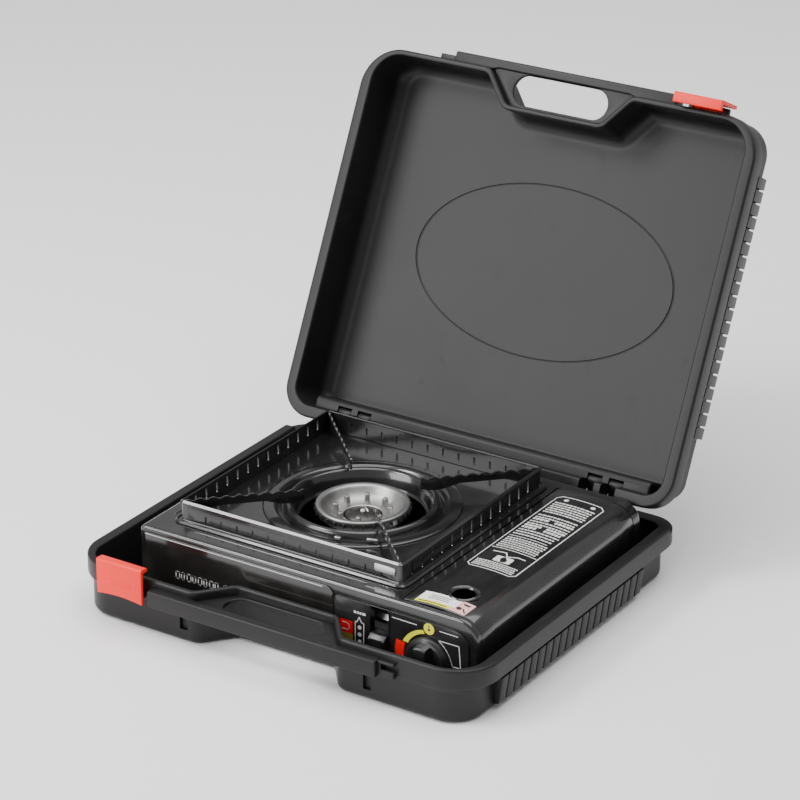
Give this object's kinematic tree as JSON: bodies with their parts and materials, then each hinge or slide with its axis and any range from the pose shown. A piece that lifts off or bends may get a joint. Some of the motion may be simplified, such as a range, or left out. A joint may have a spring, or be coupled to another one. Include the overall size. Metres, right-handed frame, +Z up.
{
  "type": "portable gas camping stove in carrying case",
  "caption": "Single-burner butane stove with lift-off pan support and hinged cartridge cover, seated in the lower half of a latched carrying case with a hinged lid.",
  "frame": {"origin": "middle of the carrying case's footprint, on the surface it stands on", "axes": "+Z up, +X to the right seen from the front, +Y from the handle side towards the hinge side"},
  "size_m": [0.4, 0.512, 0.3882],
  "materials": {
    "case_plastic": "fine grained, blow moulded",
    "latch_red": "smooth, satin",
    "bright_steel": "bright drawn wire",
    "black_enamel": "glossy enamel on pressed sheet",
    "zinc_sheet": "zinc plated sheet",
    "cast_aluminium": "die cast, machined rim",
    "control_grey": "satin printed plate",
    "gloss_panel": "high gloss printed plate",
    "rubber": "matt",
    "brass": "machined",
    "black_plastic": "satin",
    "ceramic": "glazed ceramic"
  },
  "bodies": {
    "case": {"case_base": "case_plastic", "hinge_pin_left": "bright_steel", "hinge_pin_right": "bright_steel", "base_latch_pin": "bright_steel"},
    "lid": {"case_lid": "case_plastic", "lid_latch_pin": "bright_steel"},
    "base_latch": {"base_latch": "latch_red"},
    "lid_latch": {"lid_latch": "latch_red"},
    "stove": {"body_shell": "black_enamel", "bottom_pan": "zinc_sheet", "foot_front_left": "rubber", "foot_front_right": "rubber", "foot_rear_left": "rubber", "foot_rear_right": "rubber", "name_panel": "gloss_panel", "control_panel": "control_grey", "heat_shield": "zinc_sheet", "drip_pan": "black_enamel", "burner_base": "zinc_sheet", "burner_head": "cast_aluminium", "burner_cap": "cast_aluminium", "spark_electrode": "ceramic", "ignition_lead": "black_plastic", "mixing_tube": "zinc_sheet", "gas_nozzle": "brass", "gas_valve": "brass", "piezo_igniter": "black_plastic", "pressure_regulator": "brass", "lever_guide_left": "zinc_sheet", "lever_guide_right": "zinc_sheet", "cover_rod": "bright_steel"},
    "cover": {"cartridge_cover": "black_enamel"},
    "knob": {"knob": "black_plastic", "valve_stem": "zinc_sheet"},
    "lever": {"lock_lever": "black_plastic"},
    "trivet": {"trivet_frame": "black_enamel", "trivet_arm_front_left": "black_enamel", "trivet_arm_front_right": "black_enamel", "trivet_arm_rear_left": "black_enamel", "trivet_arm_rear_right": "black_enamel"}
  },
  "joints": [
    {"name": "lid_hinge", "type": "hinge", "parent": "case", "child": "lid", "pos_m": [0, 0.16, 0.0683], "axis": [1, 0, 0], "range_deg": [0, 116.13]},
    {"name": "base_latch_turn", "type": "hinge", "parent": "case", "child": "base_latch", "pos_m": [-0.14, -0.1753, 0.0335], "axis": [1, 0, 0], "range_deg": [-6, 50]},
    {"name": "lid_latch_turn", "type": "hinge", "parent": "lid", "child": "lid_latch", "pos_m": [0.14, 0.30453, 0.37087], "axis": [-1, 0, 0], "range_deg": [-6, 50]},
    {"name": "stove_lift", "type": "slide", "parent": "case", "child": "stove", "axis": [0, 0, -1], "range_m": [-0.12, 0]},
    {"name": "trivet_lift", "type": "slide", "parent": "stove", "child": "trivet", "axis": [0, 0, -1], "range_m": [-0.05, 0]},
    {"name": "cover_hinge", "type": "hinge", "parent": "stove", "child": "cover", "pos_m": [0.1054, 0, 0.0707], "axis": [0, 1, 0], "range_deg": [-90, 0]},
    {"name": "knob_turn", "type": "hinge", "parent": "stove", "child": "knob", "pos_m": [0.133, -0.132, 0.03], "axis": [0, -1, 0], "range_deg": [0, 150]},
    {"name": "lever_slide", "type": "slide", "parent": "stove", "child": "lever", "axis": [0, 0, 1], "range_m": [0, 0.022]}
  ]
}
